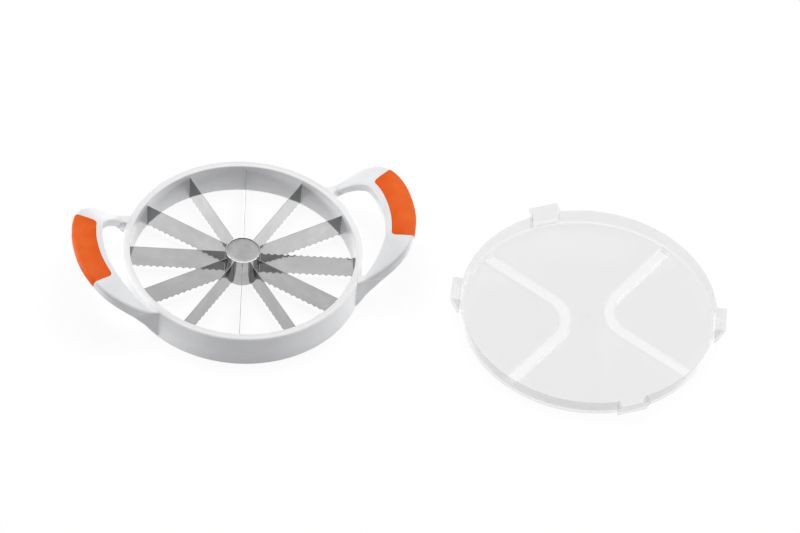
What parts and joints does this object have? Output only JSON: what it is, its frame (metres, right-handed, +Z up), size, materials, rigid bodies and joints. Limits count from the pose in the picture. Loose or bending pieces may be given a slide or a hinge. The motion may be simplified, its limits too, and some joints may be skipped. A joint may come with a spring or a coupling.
{
  "type": "melon slicer",
  "caption": "Round melon slicer: radial wavy-edged blades between a ring and a hub, two raised handles with soft grips, and a clear clip-on blade guard beside it.",
  "frame": {"origin": "middle of the floor that the whole set covers: bottom centre of the box round the slicer and its guard", "axes": "+X along the slicer's two handles, +Y away from the guard, +Z up, square to the ring"},
  "size_m": [0.7066, 0.4304, 0.0831],
  "materials": {
    "white_plastic": "white moulded plastic with a soft gloss",
    "orange_soft": "orange soft-touch elastomer, matte",
    "polished_steel": "stainless strip polished close to a mirror",
    "satin_steel": "satin stainless, turned",
    "clear_plastic": "clear glossy moulded plastic"
  },
  "bodies": {
    "slicer": {"frame": "white_plastic", "closing_ring": "white_plastic", "hub_core": "white_plastic", "grip_right": "orange_soft", "grip_left": "orange_soft", "blade_01": "polished_steel", "blade_02": "polished_steel", "blade_03": "polished_steel", "blade_04": "polished_steel", "blade_05": "polished_steel", "blade_06": "polished_steel", "blade_07": "polished_steel", "blade_08": "polished_steel", "blade_09": "polished_steel", "blade_10": "polished_steel", "blade_11": "polished_steel", "blade_12": "polished_steel", "hub_sleeve": "polished_steel", "hub_cap": "satin_steel"},
    "guard": {"blade_guard": "clear_plastic"}
  },
  "joints": [
    {"name": "guard_lift", "type": "slide", "parent": "slicer", "child": "guard", "axis": [0, 0, 1], "range_m": [0, 0.08]}
  ]
}
